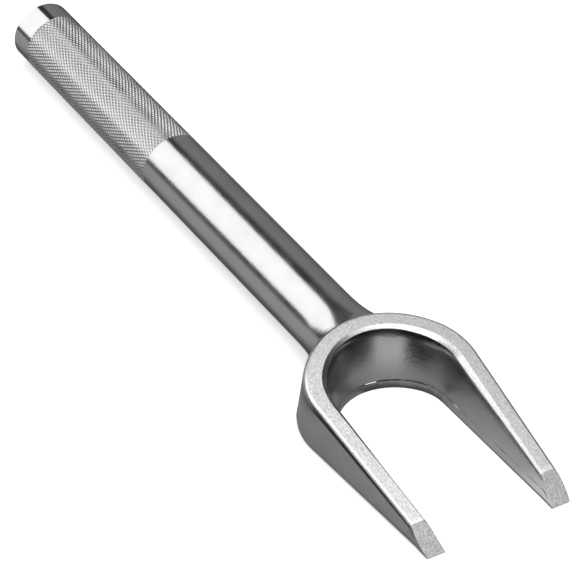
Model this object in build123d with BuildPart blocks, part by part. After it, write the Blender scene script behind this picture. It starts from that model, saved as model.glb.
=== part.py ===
from build123d import *

import os
from math import atan2, cos, degrees, radians, sin, sqrt, tan

# Ball joint separator: a wedge fork forged on the end of a round bar, which is its knurled handle.
#
# Millimetres. The bar's axis is the X axis, from the centre of the striking end at x = 0 to the tips
# of the fork at +X. The wedge face looks to +Z. The underside is flat, flush with the bar's lowest line.

os.makedirs("parts", exist_ok=True)

# Shank: a bar one inch across
SHANK_RADIUS = 12.7
OVERALL_LENGTH = 316.0
BUTT_CHAMFER = 0.5
KNURL_START = 11.0  # from the striking end
KNURL_LENGTH = 89.5
KNURL_RAISE = 0.05  # rolling lifts the crests a little above the bar

# Fork from above
CROTCH_TO_TIPS = 59.6  # from the centre of the slot's arc to the ends of the two arms
OUTER_RADIUS = 35.2  # at the die's parting line
OUTER_SETBACK = 0.6  # of the outer arc's centre behind the slot's
OUTER_CLOSING = 3.9  # degrees that the outer side of an arm closes in by, towards the tip
SLOT_RADIUS = 21.35  # half of the gap between the arms, at the underside
SLOT_OPENING = 1.25  # degrees that the inner side of an arm opens out by, towards the tip
CORNER_SHARE = 0.7  # the arcs beside the back one have a smaller radius, so the bend is a little square
CORNER_SETBACK = 0.16  # how far their centres lie behind, as a share of the radius

# Fork from the side
PARTING_HEIGHT = 3.0  # the die's parting line, above the underside
WEDGE_HEIGHT = 18.0  # of the wedge face above the underside, over the centre of the slot's arc
WEDGE_ANGLE = 12.0
TIP_BEVEL_LENGTH = 10.5  # the steeper ground face at the end of each arm
TIP_THICKNESS = 0.7

# Draft of the forging die, in degrees
UPPER_DRAFT = 2.0
LOWER_DRAFT = 9.0
SLOT_DRAFT = 15.0

# Neck, where the shank swells into the fork
NECK_RADIUS = 25.0
NECK_SECTIONS = 7

# Broken edges
UNDERSIDE_ROUND = 1.5
RIM_ROUND = 1.0
SLOT_CHAMFER = 1.1

CROTCH_X = OVERALL_LENGTH - CROTCH_TO_TIPS
UNDERSIDE_Z = -SHANK_RADIUS
REACH = CROTCH_TO_TIPS + 40.0  # how far the raw shapes run past the centre of the arc
CLEAR = 30.0  # how far the cutting shapes stand clear of the metal


def horseshoe(radius, side_angle):
    """A bend open towards +X, made of three arcs, and the two straight sides that leave it on a tangent.

    The bend is as deep as it is wide. The sides open out at a side angle above zero, and close in at
    one below zero.
    """
    corner_radius = CORNER_SHARE * radius
    corner_x = -CORNER_SETBACK * radius
    corner_y = radius - corner_radius
    back_x = corner_x**2 / (2 * (corner_y + corner_x))
    joint_angle = degrees(atan2(corner_y, back_x - corner_x))
    side_x = corner_x - corner_radius * sin(radians(side_angle))
    side_y = corner_y + corner_radius * cos(radians(side_angle))
    end_y = side_y + (REACH - side_x) * tan(radians(side_angle))
    with BuildSketch() as outline:
        with BuildLine():
            CenterArc((back_x, 0), radius + back_x, 180 - joint_angle, 2 * joint_angle)
            CenterArc((corner_x, corner_y), corner_radius, 90 + side_angle, 90 - side_angle - joint_angle)
            CenterArc((corner_x, -corner_y), corner_radius, 180 + joint_angle, 90 - side_angle - joint_angle)
            Polyline((side_x, side_y), (REACH, end_y), (REACH, -end_y), (side_x, -side_y))
        make_face()
    return outline.sketch


def wedge_height(x):
    """Height of the wedge face above the underside, x from the centre of the slot's arc."""
    return WEDGE_HEIGHT - x * tan(radians(WEDGE_ANGLE))


bevel_start = CROTCH_TO_TIPS - TIP_BEVEL_LENGTH

# Seen from above, the neck's side is a round that leaves the shank on a tangent and meets the fork's
# outer arc on a tangent.
neck_start = sqrt((OUTER_RADIUS + NECK_RADIUS) ** 2 - (SHANK_RADIUS + NECK_RADIUS) ** 2)
neck_length = neck_start * NECK_RADIUS / (OUTER_RADIUS + NECK_RADIUS)
neck_x = CROTCH_X - OUTER_SETBACK - neck_start

with BuildPart() as separator_fork:
    # Head: one outline, drawn in by the die's draft above and below the parting line
    parting_origin = (CROTCH_X - OUTER_SETBACK, 0, UNDERSIDE_Z + PARTING_HEIGHT)
    with BuildSketch(Plane(origin=parting_origin)) as head_outline:
        add(horseshoe(OUTER_RADIUS, -OUTER_CLOSING))
    extrude(amount=CLEAR, taper=UPPER_DRAFT)
    extrude(head_outline.sketch, amount=-PARTING_HEIGHT, taper=LOWER_DRAFT)
    underside = separator_fork.faces().sort_by(Axis.Z)[0]
    fillet(underside.edges(), UNDERSIDE_ROUND)

    # Wedge face and tip bevels: everything above and beyond this side profile is ground away
    side_plane = Plane(origin=(CROTCH_X, 0, UNDERSIDE_Z), x_dir=(1, 0, 0), z_dir=(0, -1, 0))
    with BuildSketch(side_plane) as waste:
        with BuildLine():
            Polyline(
                (-REACH, wedge_height(-REACH)),
                (bevel_start, wedge_height(bevel_start)),
                (CROTCH_TO_TIPS, TIP_THICKNESS),
                (CROTCH_TO_TIPS, -CLEAR),
                (REACH + CLEAR, -CLEAR),
                (REACH + CLEAR, 2 * CLEAR),
                (-REACH, 2 * CLEAR),
                close=True,
            )
        make_face()
    extrude(amount=2 * CLEAR, both=True, mode=Mode.SUBTRACT)
    wedge_face = separator_fork.faces().filter_by(GeomType.PLANE).sort_by(Axis.Z)[-1]
    fillet(wedge_face.edges().sort_by(Axis.X)[:-1], RIM_ROUND)

    # Neck: the shank's section, pulled wider and wider until it lies in the head
    with BuildSketch(Plane.YZ.offset(neck_x)):
        Circle(SHANK_RADIUS)
    for section in range(1, NECK_SECTIONS):
        along = neck_length * section / (NECK_SECTIONS - 1)
        swell = NECK_RADIUS - sqrt(NECK_RADIUS**2 - along**2)
        with BuildSketch(Plane.YZ.offset(neck_x + along)):
            SlotCenterToCenter(2 * swell, 2 * SHANK_RADIUS)
    loft()
    extrude(waste.sketch, amount=2 * CLEAR, both=True, mode=Mode.SUBTRACT)

    # Shank and its knurled stretch
    with BuildSketch(Plane.YZ):
        Circle(SHANK_RADIUS)
    extrude(amount=neck_x)
    chamfer(separator_fork.faces().sort_by(Axis.X)[0].edges(), BUTT_CHAMFER)
    with BuildSketch(Plane.YZ.offset(KNURL_START)):
        Circle(SHANK_RADIUS + KNURL_RAISE)
    extrude(amount=KNURL_LENGTH)

    # Slot between the arms, wider towards the wedge face by the die's draft
    with BuildSketch(Plane(origin=(CROTCH_X, 0, UNDERSIDE_Z))):
        add(horseshoe(SLOT_RADIUS, SLOT_OPENING))
    extrude(amount=CLEAR, taper=-SLOT_DRAFT, mode=Mode.SUBTRACT)
    slot_edges = separator_fork.edges(Select.LAST).filter_by(GeomType.LINE, reverse=True)
    wedge_face = separator_fork.faces().filter_by(GeomType.PLANE).sort_by(SortBy.AREA)[-2]
    chamfer(wedge_face.edges().filter_by(lambda edge: edge in slot_edges), SLOT_CHAMFER)

separator_fork.part.label = "separator_fork"
export_step(separator_fork.part, "parts/separator_fork.step")
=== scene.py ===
import bpy
import numpy as np
from mathutils import Matrix, Vector


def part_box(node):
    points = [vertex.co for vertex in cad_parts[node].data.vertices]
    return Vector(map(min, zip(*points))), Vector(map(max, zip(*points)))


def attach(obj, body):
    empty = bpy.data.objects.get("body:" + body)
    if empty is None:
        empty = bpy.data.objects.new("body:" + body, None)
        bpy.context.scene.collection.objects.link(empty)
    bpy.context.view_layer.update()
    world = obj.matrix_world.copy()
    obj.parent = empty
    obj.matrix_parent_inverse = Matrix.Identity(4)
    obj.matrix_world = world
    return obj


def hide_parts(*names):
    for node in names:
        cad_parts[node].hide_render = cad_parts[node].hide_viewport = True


# Ball joint separator: a wedge fork forged on the end of a round bar, which is its knurled handle.
# The tool is one forging, separator_fork. Four surface pieces stand for it together: struck_end,
# knurled_grip, shank, which takes in the neck, and fork_head. +X runs from the struck end to the
# fork's tips, and the gap between the arms is open upwards and downwards, along Z.

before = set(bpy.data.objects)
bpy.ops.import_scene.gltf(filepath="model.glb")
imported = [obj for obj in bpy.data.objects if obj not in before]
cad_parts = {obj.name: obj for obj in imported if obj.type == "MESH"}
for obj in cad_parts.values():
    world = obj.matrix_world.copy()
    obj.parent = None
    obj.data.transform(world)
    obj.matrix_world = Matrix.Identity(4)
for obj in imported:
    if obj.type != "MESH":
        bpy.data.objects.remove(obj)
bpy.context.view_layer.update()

NODE = "separator_fork"
low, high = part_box(NODE)

# ---- driving sizes, in metres ----

MM = 0.001

TIP_X = high.x
KNURL_RAISE = 0.05 * MM
UNDER_Z = low.z + KNURL_RAISE
BAR_RADIUS = -UNDER_Z

BUTT_CHAMFER = 0.5 * MM
KNURL_START = 11.0 * MM
KNURL_END = 100.5 * MM

CROTCH_X = TIP_X - 59.6 * MM
OUTER_RADIUS = 35.2 * MM
OUTER_X = CROTCH_X - 0.6 * MM
OUTER_SIDE_ANGLE = np.radians(-3.9)
SLOT_RADIUS = 21.35 * MM
SLOT_SIDE_ANGLE = np.radians(1.25)
CORNER_SHARE = 0.7
CORNER_SETBACK = 0.16

PARTING_HEIGHT = 3.0 * MM
WEDGE_HEIGHT = 18.0 * MM
WEDGE_SLOPE = np.tan(np.radians(12.0))
CREASE_X = TIP_X - 10.5 * MM
TIP_THICKNESS = 0.7 * MM
UPPER_DRAFT = np.tan(np.radians(2.0))
LOWER_DRAFT = np.tan(np.radians(9.0))
SLOT_DRAFT = np.tan(np.radians(15.0))

UNDERSIDE_ROUND = 1.5 * MM
SLOT_FLASH = 0.3 * MM
OUTER_FLASH = 0.12 * MM
RIM_ROUND = 1.4 * MM
RIM_DROP = 2.8 * MM
SLOT_BEVEL = 1.35 * MM
SLOT_ROUND = 0.5 * MM
SLOT_ROUND_DROP = 3.4 * MM
SLOT_EDGE_ROUND = 0.35 * MM

# The trimmed flash lines: low on the slot's wall, and at the parting line on the outer wall
FLASH_TOP = 2.75 * MM
FLASH_STEP_HEIGHTS = np.array([2.95, 3.1, 3.25, 3.5]) * MM
FLASH_STEP_SHARES = np.array([0.92, 0.6, 0.12, 0])
OUTER_FLASH_HALF = 0.12 * MM
OUTER_FLASH_FOOT = 0.35 * MM

# Shares of the slot bevel's width and of the flash, along the horseshoe's stations
BEVEL_STATIONS = (0, 0.6, 1.2, 2, 3, 4)
BEVEL_SHARES = (0.6, 0.7, 1, 1, 0.3, 0.1)
FLASH_STATIONS = (1.9, 2.4)
FLASH_SHARES = (1, 0.35)
STATION_DISTANCES = np.array([0, 17, 34, 78, 89]) * MM
FLASH_PERIOD = 20 * MM
RAGGED_PERIOD = 7 * MM
CREASE_BLEND = 0.2 * MM
THIN_HEIGHT = 4.8 * MM  # where an arm is lower than this, the low details shrink with it
LOW_WALL_HEIGHT = 9.0 * MM

KNURL_STARTS = 57
KNURL_PITCH = 2.42 * MM
KNURL_DEPTH = 0.38 * MM
KNURL_STEPS = 6  # mesh points from one groove to the next
KNURL_CREST = 0.9  # the teeth's tops are cut flat above this share of their height

NECK_RADIUS = 25.0 * MM
NECK_EASE = 6.0 * MM
NECK_FLATNESS = 0.3
NECK_LEAD = 8.0 * MM
NECK_FALL = 0.03  # the shank's top dips by this share of its radius just before the head
NECK_FALL_LENGTH = 9.0 * MM
HEAD_WALL_SETBACK = 0.55 * MM


# ---- meshes from grids of points ----

def tube(name, points, materials, face_material=0, sharp=25.0):
    """A closed piece from points[row, column]: neighbours make quads, the columns run on round to
    the first one, and the first and last rows are each closed by one flat face."""
    rows, columns = points.shape[:2]
    index = np.arange(rows * columns).reshape(rows, columns)
    beside = np.roll(index, -1, axis=1)
    quads = np.stack([index[:-1], beside[:-1], beside[1:], index[1:]], axis=-1).reshape(-1, 4)
    ends = [index[0, ::-1].tolist(), index[-1].tolist()]
    mesh = bpy.data.meshes.new(name)
    mesh.from_pydata(points.reshape(-1, 3).tolist(), [], quads.tolist() + ends)
    for material in materials:
        mesh.materials.append(material)
    numbers = np.zeros(len(mesh.polygons), dtype=np.int32)
    numbers[:len(quads)] = np.broadcast_to(face_material, (rows - 1, columns)).ravel()
    mesh.polygons.foreach_set("material_index", numbers)
    mesh.polygons.foreach_set("use_smooth", np.ones(len(mesh.polygons), dtype=bool))
    mesh.set_sharp_from_angle(angle=np.radians(sharp))
    mesh.update()
    piece = bpy.data.objects.new(name, mesh)
    bpy.context.scene.collection.objects.link(piece)
    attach(piece, "root")
    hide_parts(NODE)
    return piece


def turned(name, outline, columns, materials, **options):
    """A piece turned about the X axis: each outline point (x, radius) is carried round a circle."""
    angle = np.linspace(0, 2 * np.pi, columns, endpoint=False)
    x, radius = (np.array(v)[:, None] for v in zip(*outline))
    points = np.stack(np.broadcast_arrays(x, radius * np.cos(angle), radius * np.sin(angle)), axis=-1)
    return tube(name, points, materials, **options)


def ramp(*stops):
    """Evenly spaced values from stop to stop: ramp(a, (b, n), (c, m)) takes n steps to b, m to c."""
    values = [np.array([stops[0]])]
    for goal, steps in stops[1:]:
        values.append(np.linspace(values[-1][-1], goal, steps + 1)[1:])
    return np.concatenate(values)


# ---- the fork head ----

def wedge_height(x):
    """The ground wedge face's height above the underside."""
    return WEDGE_HEIGHT - (x - CROTCH_X) * WEDGE_SLOPE


def facet_height(x):
    """The height of the steeper facet that the tips are ground to."""
    crease = wedge_height(CREASE_X)
    return crease + (TIP_THICKNESS - crease) * (x - CREASE_X) / (TIP_X - CREASE_X)


def lower(first, second, blend):
    """The lower of two heights, rounded over where they cross: the root of their difference squared
    plus blend squared stands in for the difference."""
    return (first + second - np.sqrt((first - second) ** 2 + blend ** 2)) / 2


def horseshoe(station, radius, side_angle, centre_x, grow):
    """A point of the fork's outline, moved outwards by grow. Stations 0 to 1 run along the back arc,
    1 to 2 along the tighter corner arc, 2 to 3 along the straight side to the crease line and 3 to 4
    on to the tip. Negative stations are the mirror image in y."""
    corner_radius = CORNER_SHARE * radius
    corner_x = -CORNER_SETBACK * radius
    corner_y = radius - corner_radius
    back_x = corner_x ** 2 / (2 * (corner_y + corner_x))
    joint_angle = np.arctan2(corner_y, back_x - corner_x)
    part = np.abs(station)
    back_angle = np.pi - joint_angle * np.clip(part, 0, 1)
    corner_turn = np.pi / 2 + side_angle - np.pi + joint_angle
    corner_angle = (np.pi - joint_angle) + corner_turn * np.clip(part - 1, 0, 1)
    back_reach = radius + back_x + grow
    corner_reach = corner_radius + grow
    side_x = corner_x + corner_reach * np.cos(np.pi / 2 + side_angle)
    side_y = corner_y + corner_reach * np.sin(np.pi / 2 + side_angle)
    crease_x = CREASE_X - centre_x
    tip_x = TIP_X - centre_x
    run_x = side_x + (crease_x - side_x) * np.clip(part - 2, 0, 1)
    run_x = run_x + (tip_x - crease_x) * np.clip(part - 3, 0, 1)
    run_y = side_y + (run_x - side_x) * np.tan(side_angle)
    on_back = part <= 1
    on_corner = part <= 2
    x = np.where(on_back, back_x + back_reach * np.cos(back_angle),
                 np.where(on_corner, corner_x + corner_reach * np.cos(corner_angle), run_x))
    y = np.where(on_back, back_reach * np.sin(back_angle),
                 np.where(on_corner, corner_y + corner_reach * np.sin(corner_angle), run_y))
    return centre_x + x, np.sign(station) * y


def head_columns():
    """The head's cross-section as columns of (across, inset, rise, drop, share, flash, bevel_in,
    bevel_down). across is 0 at the slot wall and 1 at the outer wall and inset goes into the metal.
    The height runs from rise above the underside, where share is 0, to drop below the ground face,
    where share is 1. flash is how far the trimmed flash stands out, and the last two are shares of
    the slot bevel's width, added to inset and drop."""
    columns = []

    def add(across, inset, rise=0.0, drop=0.0, share=0.0, flash=0.0, bevel_in=0.0, bevel_down=0.0):
        values = (np.atleast_1d(across), inset, rise, drop, share, flash, bevel_in, bevel_down)
        columns.append(np.stack(np.broadcast_arrays(*values)))

    turn = np.radians(ramp(0, (90, 3)))
    add(0, SLOT_EDGE_ROUND * (1 - np.sin(turn)), rise=SLOT_EDGE_ROUND * (1 - np.cos(turn)))
    strip = ramp(SLOT_EDGE_ROUND, (FLASH_TOP, 3))[1:]
    add(0, 0, rise=strip, flash=SLOT_FLASH * strip / FLASH_TOP)
    add(0, 0, rise=FLASH_STEP_HEIGHTS, flash=SLOT_FLASH * FLASH_STEP_SHARES)
    climb = ramp(0, (1, 12))[1:]
    add(0, 0, rise=FLASH_STEP_HEIGHTS[-1], drop=SLOT_ROUND_DROP, share=climb, bevel_down=climb)
    turn = ramp(0, (np.arctan(SLOT_ROUND_DROP / SLOT_ROUND), 9))[1:]
    sunk = SLOT_ROUND * (1 - np.cos(turn))
    add(0, sunk, drop=SLOT_ROUND_DROP * (np.sin(turn[-1]) - np.sin(turn)), share=1, bevel_down=1)
    add(0, sunk[-1], share=1, bevel_in=0.5, bevel_down=0.5)
    over = ramp(0, (1, 10))
    add(over, sunk[-1] + (RIM_ROUND - sunk[-1]) * over, share=1, bevel_in=1 - over)
    turn = np.radians(ramp(0, (90, 10)))[1:]
    add(1, RIM_ROUND * (1 - np.sin(turn)), drop=RIM_DROP * (1 - np.cos(turn)), share=1)
    descent = ramp(1, (0, 10))[1:]
    add(1, 0, rise=PARTING_HEIGHT + OUTER_FLASH_FOOT, drop=RIM_DROP, share=descent)
    below = np.array([-OUTER_FLASH_HALF, OUTER_FLASH_HALF, OUTER_FLASH_FOOT])
    add(1, 0, rise=PARTING_HEIGHT - below, flash=OUTER_FLASH * np.array([1, 1, 0]))
    turn = np.radians(ramp(0, (90, 6)))
    add(1, UNDERSIDE_ROUND * (1 - np.cos(turn)), rise=UNDERSIDE_ROUND * (1 - np.sin(turn)))
    back = ramp(1, (0, 5))[1:-1]
    add(back, UNDERSIDE_ROUND * back + SLOT_EDGE_ROUND * (1 - back))
    return np.concatenate(columns, axis=1)


def along_slot(station):
    """The distance run along the slot's edge from the middle of its back, in metres."""
    run = np.interp(np.abs(station), np.arange(5), STATION_DISTANCES)
    return run * np.sign(station)


def uneven(distance, period):
    """A share between 0.1 and 1 that wanders along an edge: three sines of unrelated periods."""
    turn = 2 * np.pi * distance / period
    sines = 0.25 * np.sin(turn + 1) + 0.2 * np.sin(2.7 * turn) + 0.12 * np.sin(6.1 * turn + 2)
    return np.clip(0.55 + sines, 0.1, 1)


def head_points(station):
    """The head's surface: each column of the cross-section is carried along the horseshoe. Its place
    follows from its height through the walls' drafts, and its height from its place through the
    wedge's slope, so the two are worked out in turn until they agree."""
    across, inset, rise, drop, share, flash, bevel_in, bevel_down = head_columns()
    station = station[:, None]
    distance = along_slot(station)
    bevel = SLOT_BEVEL * np.interp(np.abs(station), BEVEL_STATIONS, BEVEL_SHARES)
    flash = flash * uneven(distance, FLASH_PERIOD)
    flash = flash * np.interp(np.abs(station), FLASH_STATIONS, FLASH_SHARES)
    slot_top = (across == 0) & (drop > 0)
    ragged = np.where(slot_top & (share == 1), 0.85 + 0.25 * uneven(distance, RAGGED_PERIOD), 1)
    x = np.full((len(station), len(across)), CROTCH_X)
    for _ in range(6):
        thin = np.clip(facet_height(x) / THIN_HEIGHT, 0.1, 1)
        into = inset * np.where(share < 1, thin, 1) + bevel_in * bevel - flash * thin
        low_wall = np.where(slot_top, np.clip(wedge_height(x) / LOW_WALL_HEIGHT - 0.44, 0.1, 1), 1)
        top = wedge_height(x) - drop * ragged * low_wall - bevel_down * bevel
        top = lower(top, facet_height(x), CREASE_BLEND)
        height = rise * thin * (1 - share) + share * top
        slot_x, slot_y = horseshoe(station, SLOT_RADIUS, SLOT_SIDE_ANGLE, CROTCH_X,
                                   SLOT_DRAFT * height + into)
        above = height - PARTING_HEIGHT
        drafted = UPPER_DRAFT * np.maximum(above, 0) + LOWER_DRAFT * np.maximum(-above, 0)
        outer_x, outer_y = horseshoe(station, OUTER_RADIUS, OUTER_SIDE_ANGLE, OUTER_X,
                                     -drafted - into)
        x = slot_x + (outer_x - slot_x) * across
        y = slot_y + (outer_y - slot_y) * across
    return np.stack([x, y, UNDER_Z + height], axis=-1)


def fork_head(wall, face, facet):
    """The head's grid of points, with the ground face and the tips' facets in their own finishes. The
    half run of stations is mirrored to give the other arm."""
    half = ramp(0, (1, 40), (2, 44), (2.92, 90), (3.2, 14), (4, 20))
    station = np.concatenate([-half[:0:-1], half])
    points = head_points(station)
    across, _, _, drop, share, *_ = head_columns()
    level = (drop == 0) & (np.roll(drop, -1) == 0)
    raised = (share == 1) & (np.roll(share, -1) == 1)
    burnished = (across == 1) & (np.roll(drop, -1) < 0.35 * RIM_DROP)
    past_crease = np.abs(station[:-1] + station[1:])[:, None] / 2 > 3
    numbers = np.where(raised & past_crease, 2, np.where(raised & (level | burnished), 1, 0))
    return tube("fork_head", points, [wall, face, facet], face_material=numbers)


# ---- the bar: struck end, knurled grip, shank and neck ----

def struck_end(band, face):
    """The smooth band at the struck end, turned, with a chamfered edge and the flat end face."""
    outline = [(0.0, BAR_RADIUS - BUTT_CHAMFER), (BUTT_CHAMFER, BAR_RADIUS), (KNURL_START, BAR_RADIUS)]
    piece = turned("struck_end", outline, 160, [band, face])
    piece.data.polygons[len(piece.data.polygons) - 2].material_index = 1
    return piece


def knurled_grip(finish):
    """Two crossing sets of helical grooves: the depth at a point is the deeper of two triangle waves,
    one in starts * turn + x / pitch and one in starts * turn - x / pitch, with the tops cut flat."""
    periods = round((KNURL_END - KNURL_START) / KNURL_PITCH)
    turn = np.arange(KNURL_STARTS * KNURL_STEPS) / (KNURL_STARTS * KNURL_STEPS)
    along = np.arange(periods * KNURL_STEPS + 1) / (periods * KNURL_STEPS)
    first = KNURL_STARTS * turn[None, :] + periods * along[:, None]
    second = KNURL_STARTS * turn[None, :] - periods * along[:, None]
    wave = np.minimum(1 - np.abs(2 * (first % 1) - 1), 1 - np.abs(2 * (second % 1) - 1))
    depth = KNURL_DEPTH * (1 - np.minimum(wave / KNURL_CREST, 1))
    radius = BAR_RADIUS + KNURL_RAISE - depth
    x = np.broadcast_to(KNURL_START + (KNURL_END - KNURL_START) * along[:, None], radius.shape)
    angle = 2 * np.pi * turn[None, :]
    points = np.stack([x, radius * np.cos(angle), radius * np.sin(angle)], axis=-1)
    root = points[[0, -1]] * np.array([1, 0.96, 0.96])
    points = np.concatenate([root[:1], points, root[1:]])
    return tube("knurled_grip", points, [finish], sharp=12.0)


def shank(finish):
    """A round bar whose sides swell into the head. At a distance d past the neck's start the side
    stands R - sqrt(R^2 - d^2) further out, R being the neck's hollow radius, while top and bottom
    stay level, and nothing rises above the wedge face."""
    wall_radius = OUTER_RADIUS - HEAD_WALL_SETBACK
    start = OUTER_X - np.sqrt((wall_radius + NECK_RADIUS) ** 2 - (BAR_RADIUS + NECK_RADIUS) ** 2)
    length = (OUTER_X - start) * NECK_RADIUS / (wall_radius + NECK_RADIUS)
    x = ramp(KNURL_END, (start - NECK_LEAD, 12), (start, 8), (start + length, 36))[:, None]
    past = x - start
    past = (past + np.sqrt(past ** 2 + NECK_EASE ** 2)) / 2
    past = past * length / past.max() - past.min() * (length - past) / length
    swell = NECK_RADIUS - np.sqrt(NECK_RADIUS ** 2 - np.clip(past, 0, length) ** 2)
    angle = np.linspace(0, 2 * np.pi, 192, endpoint=False)[None, :]
    side = np.cos(angle)
    y = BAR_RADIUS * side + swell * side * np.sqrt((1 + NECK_FLATNESS) / (side ** 2 + NECK_FLATNESS))
    rim_x = OUTER_X - OUTER_RADIUS
    fall = np.clip((x - rim_x + NECK_FALL_LENGTH) / NECK_FALL_LENGTH, 0, 1)
    z = BAR_RADIUS * np.sin(angle) * (1 - NECK_FALL * fall ** 2 * np.maximum(np.sin(angle), 0))
    buried = 0.15 * MM + 0.9 * np.maximum(x - rim_x - 3 * MM, 0)
    z = np.minimum(z, UNDER_Z + wedge_height(x) - buried)
    points = np.stack(np.broadcast_arrays(x, y, z), axis=-1)
    return tube("shank", points, [finish])


# ---- finishes ----

def steel(name, color, roughness):
    """A new material with a metal shader: returned with its nodes, links, shader and place, which is
    the object's own coordinates."""
    material = bpy.data.materials.new(name)
    material.use_nodes = True
    nodes, links = material.node_tree.nodes, material.node_tree.links
    shader = nodes["Principled BSDF"]
    shader.inputs["Metallic"].default_value = 1.0
    shader.inputs["Base Color"].default_value = (*color, 1)
    shader.inputs["Roughness"].default_value = roughness
    place = nodes.new("ShaderNodeTexCoord").outputs["Object"]
    return material, nodes, links, shader, place


def noise(nodes, links, place, scale, detail=2.0, stretch=(1, 1, 1), grit=0.5):
    """Noise whose grains are 1 / scale metres across, stretched along each axis."""
    mapping = nodes.new("ShaderNodeMapping")
    mapping.inputs["Scale"].default_value = [scale / s for s in stretch]
    links.new(place, mapping.inputs["Vector"])
    texture = nodes.new("ShaderNodeTexNoise")
    texture.inputs["Scale"].default_value = 1.0
    texture.inputs["Detail"].default_value = detail
    texture.inputs["Roughness"].default_value = grit
    links.new(mapping.outputs["Vector"], texture.inputs["Vector"])
    return texture.outputs["Fac"]


def spread(nodes, links, value, start, end, inner=(0.3, 0.7)):
    """Carries a noise value from inner's range to the range start to end."""
    node = nodes.new("ShaderNodeMapRange")
    node.inputs["From Min"].default_value, node.inputs["From Max"].default_value = inner
    node.inputs["To Min"].default_value, node.inputs["To Max"].default_value = start, end
    links.new(value, node.inputs["Value"])
    return node.outputs["Result"]


def shades(nodes, links, value, stops):
    """Grey levels by a value in metres: stops are (value, grey), in rising order."""
    first, last = stops[0][0], stops[-1][0]
    node = nodes.new("ShaderNodeValToRGB")
    elements = node.color_ramp.elements
    for place, grey in stops[1:-1]:
        elements.new((place - first) / (last - first)).color = (grey, grey, grey, 1)
    elements[0].color = (stops[0][1],) * 3 + (1,)
    elements[-1].color = (stops[-1][1],) * 3 + (1,)
    links.new(spread(nodes, links, value, 0, 1, (first, last)), node.inputs["Fac"])
    return node.outputs["Color"]


def calculate(nodes, links, operation, first, second=None):
    """One arithmetic step on two values, each a socket or a number."""
    node = nodes.new("ShaderNodeMath")
    node.operation = operation
    links.new(first, node.inputs[0])
    if isinstance(second, (int, float)):
        node.inputs[1].default_value = second
    elif second is not None:
        links.new(second, node.inputs[1])
    return node.outputs["Value"]


def tint(nodes, links, value, dark, light, inner=(0.3, 0.7)):
    """A colour between dark and light as value goes through inner's range."""
    node = nodes.new("ShaderNodeValToRGB")
    node.color_ramp.elements[0].position, node.color_ramp.elements[1].position = inner
    node.color_ramp.elements[0].color, node.color_ramp.elements[1].color = (*dark, 1), (*light, 1)
    links.new(value, node.inputs["Fac"])
    return node.outputs["Color"]


def relief(nodes, links, shader, height, depth):
    """Fine relief: the height value times depth, in metres."""
    bump = nodes.new("ShaderNodeBump")
    bump.inputs["Strength"].default_value = 1.0
    bump.inputs["Distance"].default_value = depth
    links.new(height, bump.inputs["Height"])
    links.new(bump.outputs["Normal"], shader.inputs["Normal"])


def plated(name, roughness, grain):
    """Satin plating: fine grain, and patches that are a little duller."""
    material, nodes, links, shader, place = steel(name, (0.615, 0.61, 0.612), roughness)
    patches = noise(nodes, links, place, 90, 4)
    dullness = spread(nodes, links, patches, roughness * 0.85, roughness * 1.2)
    color = tint(nodes, links, patches, (0.577, 0.572, 0.574), (0.647, 0.642, 0.644))
    links.new(dullness, shader.inputs["Roughness"])
    links.new(color, shader.inputs["Base Color"])
    relief(nodes, links, shader, noise(nodes, links, place, 1300, 3), grain)
    return material


def ground(name, roughness, dark, light, stretch, depth):
    """Belt-ground steel: short scratches along the tool over soft mottling."""
    material, nodes, links, shader, place = steel(name, light, roughness)
    scratches = noise(nodes, links, place, 1900, 5, stretch, grit=0.8)
    links.new(tint(nodes, links, scratches, dark, light, (0.4, 0.6)), shader.inputs["Base Color"])
    dullness = spread(nodes, links, scratches, roughness * 1.15, roughness * 0.85)
    links.new(dullness, shader.inputs["Roughness"])
    relief(nodes, links, shader, scratches, depth)
    return material


# ---- floor, lights, camera ----

KEY_TURN = -51
TARGET = Vector((0.585 * TIP_X, -0.00186, 0))

# What reflections and bounced light see of the floor is painted shade and light, as stops of (place in
# metres, grey): painted shadow under the bar and at the foot of the arms, painted light in the gap and
# past the tips, and dark farther out. The place is y beside the bar, x in the gap and past the tips,
# and beside the head the distance from the slot's axis, with the sign of y. Behind the crotch that
# distance is stretched along x.
BAR_SHADES = ((-0.1, 0.12), (-0.085, 0.42), (-0.023, 0.38), (-0.011, 0.1), (0.01, 0.06), (0.024, 0.15))
HEAD_SHADES = ((-0.068, 0), (-0.056, 0.31), (-0.034, 0.31), (-0.022, 0.12), (0.026, 0.12), (0.04, 0))
GAP_SHADES = ((0.23, 0.29), (0.245, 0.28), (0.29, 0.48), (0.31, 0.9), (0.345, 0.9), (0.36, 0))
GAP_EDGES = ((-0.0225, 0), (-0.0205, 1), (0.02, 1), (0.022, 0))
FRONT_SHADES = ((0.3155, 0), (0.3165, 0.9), (0.345, 0.9), (0.36, 0))
# Painted light: where the floor under the bar glows for reflections, putting a bright line along the
# shank's underside.
UNDER_BAR_PAINTED_GLOW = ((-0.0108, 0), (-0.0085, 0.5), (0.0085, 0.5), (0.0108, 0))
BAR_TO_HEAD = (0.2, 0.23)
BEHIND_STRETCH = 1.5

BLACK = (0, 0, 0, 1)
CAMERA_FLOOR = (0.9, 0.9, 0.9, 1)
# Painted light: the floor's glow as the camera sees it, which lightens the tool's shadow.
CAMERA_GLOW = (0.5, 0.5, 0.5, 1)
FLOOR_SIZE = 4.0
FLOOR_CLEARANCE = 0.02 * MM
SKY_GREY = (0.035, 0.035, 0.035, 1)


def toward(azimuth, elevation):
    """The direction from the tool to something at that azimuth and elevation, in degrees."""
    a, e = np.radians((azimuth, elevation))
    return Vector((np.sin(a) * np.cos(e), -np.cos(a) * np.cos(e), np.sin(e)))


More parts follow.
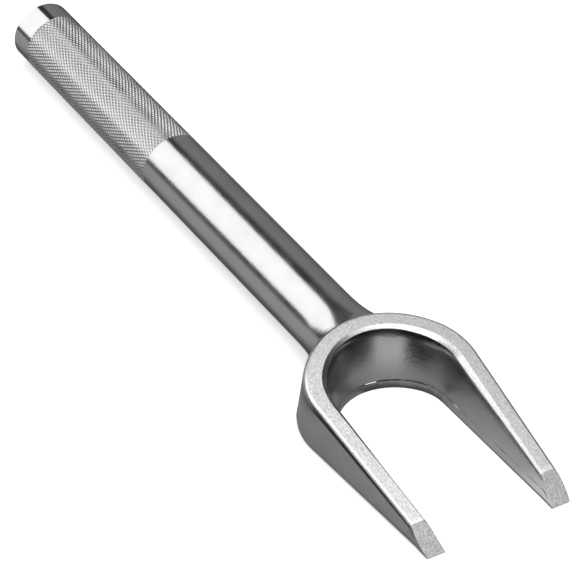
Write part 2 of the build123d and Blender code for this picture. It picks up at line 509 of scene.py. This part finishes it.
def softbox(name, azimuth, elevation, distance, width, height, brightness, turn=0.0):
    """A rectangular light that faces the tool. width is level before the box is turned."""
    light = bpy.data.lights.new(name, "AREA")
    light.shape = "RECTANGLE"
    light.size, light.size_y = width, height
    light.energy = brightness * np.pi * width * height
    box = bpy.data.objects.new(name, light)
    back = toward(azimuth, elevation)
    turned_by = Matrix.Rotation(np.radians(turn), 4, "Z")
    box.matrix_world = (Matrix.Translation(TARGET + back * distance)
                        @ back.to_track_quat("Z", "Y").to_matrix().to_4x4() @ turned_by)
    bpy.context.scene.collection.objects.link(box)


def blend(nodes, links, factor, first, second, mode="MIX"):
    """Two colours mixed by a factor. Each of the three is a socket or a fixed value."""
    node = nodes.new("ShaderNodeMix")
    node.data_type = "RGBA"
    node.blend_type = mode
    for name, value in (("Factor", factor), ("A", first), ("B", second)):
        if isinstance(value, bpy.types.NodeSocket):
            links.new(value, node.inputs[name])
        else:
            node.inputs[name].default_value = value
    return node.outputs["Result"]


def painted_floor_reflection(nodes, links, x, y):
    """The grey that reflections and bounced light see of the floor at x, y: painted shadow under the
    bar and beside the arms, and painted light in the gap and past the tips.
    """
    beside_bar = shades(nodes, links, y, BAR_SHADES)
    past_crotch = calculate(nodes, links, "SUBTRACT", x, CROTCH_X)
    behind = calculate(nodes, links, "MINIMUM", past_crotch, 0)
    from_axis = nodes.new("ShaderNodeCombineXYZ")
    links.new(calculate(nodes, links, "MULTIPLY", behind, BEHIND_STRETCH), from_axis.inputs["X"])
    links.new(y, from_axis.inputs["Y"])
    distance = nodes.new("ShaderNodeVectorMath")
    distance.operation = "LENGTH"
    links.new(from_axis.outputs["Vector"], distance.inputs[0])
    side = calculate(nodes, links, "SIGN", y)
    signed = calculate(nodes, links, "MULTIPLY", distance.outputs["Value"], side)
    in_gap = shades(nodes, links, signed, GAP_EDGES)
    beside_head = shades(nodes, links, signed, HEAD_SHADES)
    head = blend(nodes, links, in_gap, beside_head, shades(nodes, links, x, GAP_SHADES))
    head = blend(nodes, links, 1.0, shades(nodes, links, x, FRONT_SHADES), head, "LIGHTEN")
    return blend(nodes, links, spread(nodes, links, x, 0, 1, BAR_TO_HEAD), beside_bar, head)


def pale_floor():
    """A plain floor. Reflections and bounced light see it in darker shades than the camera does, with
    painted shadow under the bar and beside the arms, and a painted glow under the bar. To the camera
    alone it is pale and glows, so the tool's shadow is lightened by painted light."""
    mesh = bpy.data.meshes.new("floor")
    z = low.z - FLOOR_CLEARANCE
    corners = [(-1, -1), (1, -1), (1, 1), (-1, 1)]
    mesh.from_pydata([(x * FLOOR_SIZE, y * FLOOR_SIZE, z) for x, y in corners], [], [(0, 1, 2, 3)])
    material = bpy.data.materials.new("pale_floor")
    material.use_nodes = True
    nodes, links = material.node_tree.nodes, material.node_tree.links
    shader = nodes["Principled BSDF"]
    shader.inputs["Roughness"].default_value = 0.9
    shader.inputs["Specular IOR Level"].default_value = 0.0
    shader.inputs["Emission Strength"].default_value = 1.0
    split = nodes.new("ShaderNodeSeparateXYZ")
    links.new(nodes.new("ShaderNodeTexCoord").outputs["Object"], split.inputs["Vector"])
    x, y = split.outputs["X"], split.outputs["Y"]
    camera_ray = nodes.new("ShaderNodeLightPath").outputs["Is Camera Ray"]
    # Painted shade and light: rays that are not the camera's see the floor's painted greys, not its
    # own pale colour.
    mirrored = painted_floor_reflection(nodes, links, x, y)
    links.new(blend(nodes, links, camera_ray, mirrored, CAMERA_FLOOR), shader.inputs["Base Color"])
    # Painted light: for reflections the floor glows under the bar, and for the camera it glows
    # everywhere, which lightens the tool's shadow.
    at_head = spread(nodes, links, x, 0, 1, BAR_TO_HEAD)
    glow = blend(nodes, links, at_head, shades(nodes, links, y, UNDER_BAR_PAINTED_GLOW), BLACK)
    links.new(blend(nodes, links, camera_ray, glow, CAMERA_GLOW), shader.inputs["Emission Color"])
    mesh.materials.append(material)
    floor = bpy.data.objects.new("floor", mesh)
    bpy.context.scene.collection.objects.link(floor)


def studio():
    """A black horizon under a dim sky, and three softboxes."""
    scene = bpy.context.scene
    scene.view_settings.view_transform = "Standard"
    world = bpy.data.worlds.new("studio")
    world.use_nodes = True
    nodes, links = world.node_tree.nodes, world.node_tree.links
    split = nodes.new("ShaderNodeSeparateXYZ")
    links.new(nodes.new("ShaderNodeTexCoord").outputs["Generated"], split.inputs["Vector"])
    sky = nodes.new("ShaderNodeValToRGB")
    sky.color_ramp.elements[0].position, sky.color_ramp.elements[1].position = 0.15, 0.45
    sky.color_ramp.elements[0].color, sky.color_ramp.elements[1].color = BLACK, SKY_GREY
    links.new(split.outputs["Z"], sky.inputs["Fac"])
    links.new(sky.outputs["Color"], nodes["Background"].inputs["Color"])
    scene.world = world
    softbox("key", -50.9, 38.7, distance=1.3, width=1.58, height=1.25, brightness=1.55, turn=KEY_TURN)
    softbox("grey_wall", -136, 14, distance=1.6, width=1.15, height=1.7, brightness=0.22)
    softbox("overhead", 98, 72, distance=1.3, width=1.7, height=1.8, brightness=2.05)


def camera():
    """Looks down on the tool from its fork's right-hand side, with a long lens."""
    azimuth, elevation, roll, distance = 52.86, 38.48, 6.3, 1.1138
    data = bpy.data.cameras.new("camera")
    data.lens, data.sensor_width = 190.74, 36.0
    data.clip_start, data.clip_end = 0.05, 20.0
    view = bpy.data.objects.new("camera", data)
    back = toward(azimuth, elevation)
    right = Vector((np.cos(np.radians(azimuth)), np.sin(np.radians(azimuth)), 0))
    up = back.cross(right)
    turned_right = right * np.cos(np.radians(roll)) + up * np.sin(np.radians(roll))
    turned_up = back.cross(turned_right)
    axes = Matrix((turned_right, turned_up, back)).transposed().to_4x4()
    view.matrix_world = Matrix.Translation(TARGET + back * distance) @ axes
    bpy.context.scene.collection.objects.link(view)
    bpy.context.scene.camera = view


plate = plated("satin_plate", 0.2, 0.03 * MM)
band = plated("polished_band", 0.13, 0.004 * MM)
grip = plated("knurl_plate", 0.31, 0.003 * MM)
wedge = ground("ground_wedge", 0.3, (0.6, 0.597, 0.607), (0.975, 0.97, 0.985), (2.2, 1, 1), 0.06 * MM)
facet = ground("ground_facet", 0.5, (0.3, 0.298, 0.303), (0.62, 0.616, 0.63), (1.5, 1, 1), 0.06 * MM)

struck_end(band, plate)
knurled_grip(grip)
shank(plate)
fork_head(plate, wedge, facet)
pale_floor()
studio()
camera()
